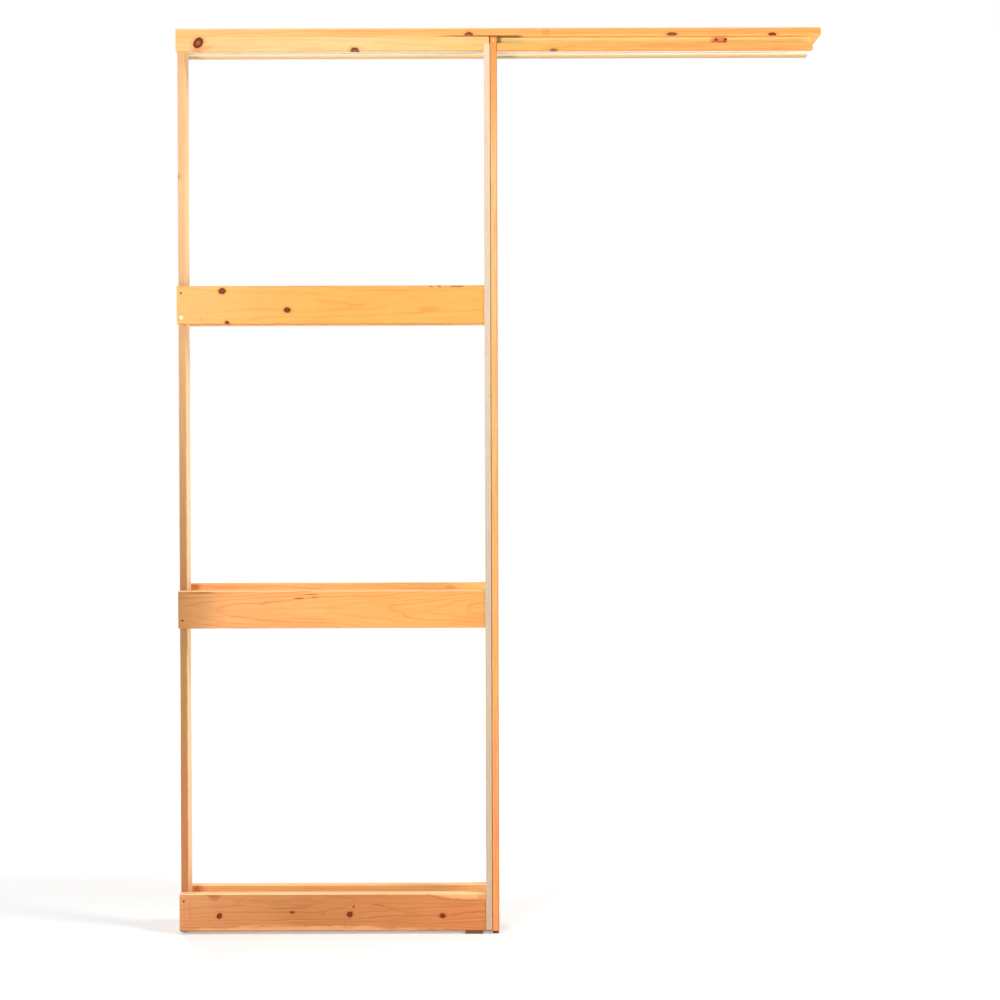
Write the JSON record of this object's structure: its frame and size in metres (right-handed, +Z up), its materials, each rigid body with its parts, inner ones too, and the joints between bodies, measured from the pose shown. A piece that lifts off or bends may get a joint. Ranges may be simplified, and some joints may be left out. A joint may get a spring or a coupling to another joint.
{
  "type": "pocket door frame",
  "caption": "Wooden pocket door frame: slatted pocket with a split jamb beside an open doorway, under one header with a sliding-door track.",
  "frame": {"origin": "on the floor, under the middle of the header board and midway through its depth", "axes": "+X from the pocket to the doorway, +Y to the back, +Z up"},
  "size_m": [1.516, 0.092, 2.134],
  "materials": {
    "pine": "planed, unfinished",
    "track_aluminium": "extruded, satin",
    "angle_steel": "zinc coated",
    "floor_steel": "dark",
    "foot_plastic": "dark brown"
  },
  "bodies": {
    "root": {"header_board": "pine", "header_core": "pine", "back_stud": "pine", "front_top_rail": "pine", "front_upper_rail": "pine", "front_lower_rail": "pine", "front_bottom_rail": "pine", "front_jamb_strip": "pine", "front_head_strip": "pine", "rear_top_rail": "pine", "rear_upper_rail": "pine", "rear_lower_rail": "pine", "rear_bottom_rail": "pine", "rear_jamb_strip": "pine", "rear_head_strip": "pine", "track": "track_aluminium", "front_jamb_angle": "angle_steel", "front_jamb_foot": "foot_plastic", "rear_jamb_angle": "angle_steel", "rear_jamb_foot": "foot_plastic", "floor_channel": "floor_steel"}
  },
  "joints": []
}
